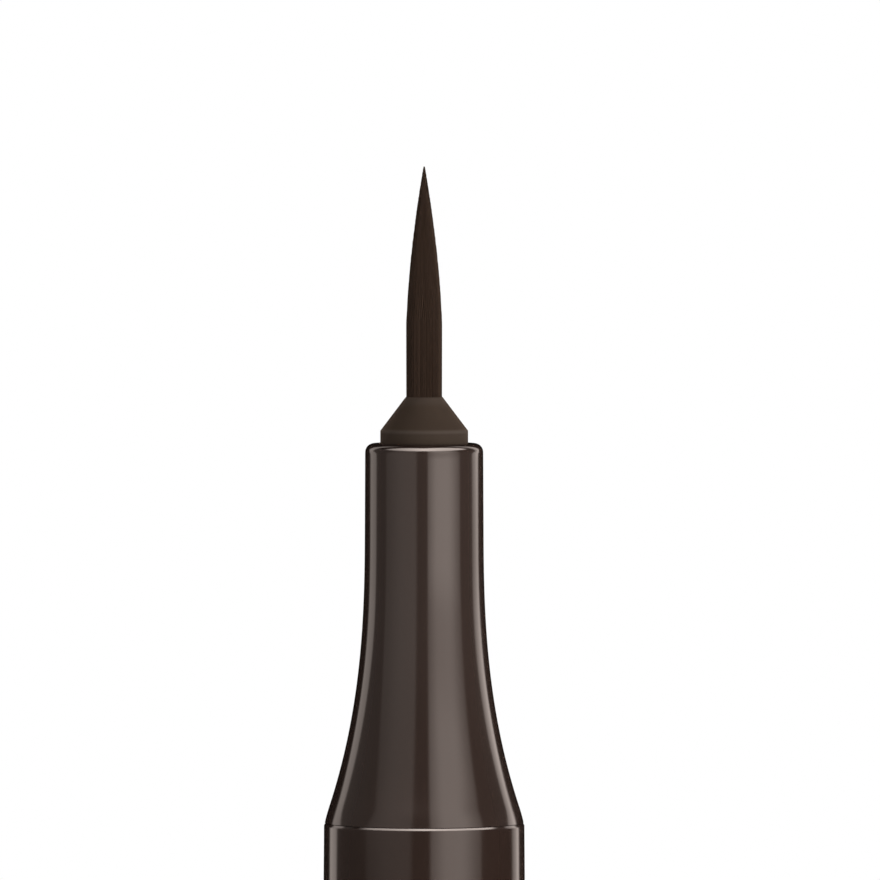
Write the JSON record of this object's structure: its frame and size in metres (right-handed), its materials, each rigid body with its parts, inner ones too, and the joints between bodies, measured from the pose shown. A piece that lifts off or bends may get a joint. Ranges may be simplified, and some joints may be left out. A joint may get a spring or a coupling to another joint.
{
  "type": "liquid eyebrow pen",
  "caption": "Slim liquid brow pen with a tapered brush tip, flared glossy nose, plain round barrel and an opened cap posted on its tail.",
  "frame": {"origin": "centre of the cap's closed flat end, on which the pen stands", "axes": "+Z along the pen from the posted cap to the brush's tip; the pen is round, and X and Y are across it"},
  "size_m": [0.01, 0.01, 0.1602],
  "materials": {
    "gloss_brown": "polished dark taupe brown",
    "matt_brown": "fine matt dark brown",
    "bristle_brown": "fine bristles wetted with brown ink",
    "milky_plastic": "uncoloured, slightly see-through moulding",
    "white_plastic": "plain white moulding",
    "ink_stained_fibre": "bonded fibre, soaked with brown ink",
    "steel": "plain drawn steel",
    "black_rubber": "plain black rubber"
  },
  "bodies": {
    "cap": {"cap_shell": "gloss_brown", "inner_cap_retainer": "white_plastic", "inner_cap_spring": "steel"},
    "inner_cap": {"inner_cap": "white_plastic"},
    "pen": {"tail_plug": "gloss_brown", "barrel": "gloss_brown", "ink_tank": "milky_plastic", "tank_joint": "white_plastic", "tank_seal": "black_rubber", "collector": "milky_plastic", "relay_core": "ink_stained_fibre", "core_pipe": "steel", "brush_retainer": "milky_plastic", "brush": "bristle_brown", "brush_holder": "matt_brown", "front_section": "gloss_brown"},
    "mixing_ball": {"mixing_ball": "steel"}
  },
  "joints": [
    {"name": "cap_pull_off", "type": "slide", "parent": "cap", "child": "pen", "axis": [0, 0, 1], "range_m": [0, 0.01]},
    {"name": "inner_cap_press", "type": "slide", "parent": "cap", "child": "inner_cap", "axis": [0, 0, -1], "range_m": [0, 0.0034], "stiffness_N_per_m": 150, "springref_m": -0.002, "deforming": ["inner_cap_spring"]},
    {"name": "mixing_ball_travel", "type": "slide", "parent": "pen", "child": "mixing_ball", "axis": [0, 0, 1], "range_m": [0, 0.0546]}
  ]
}
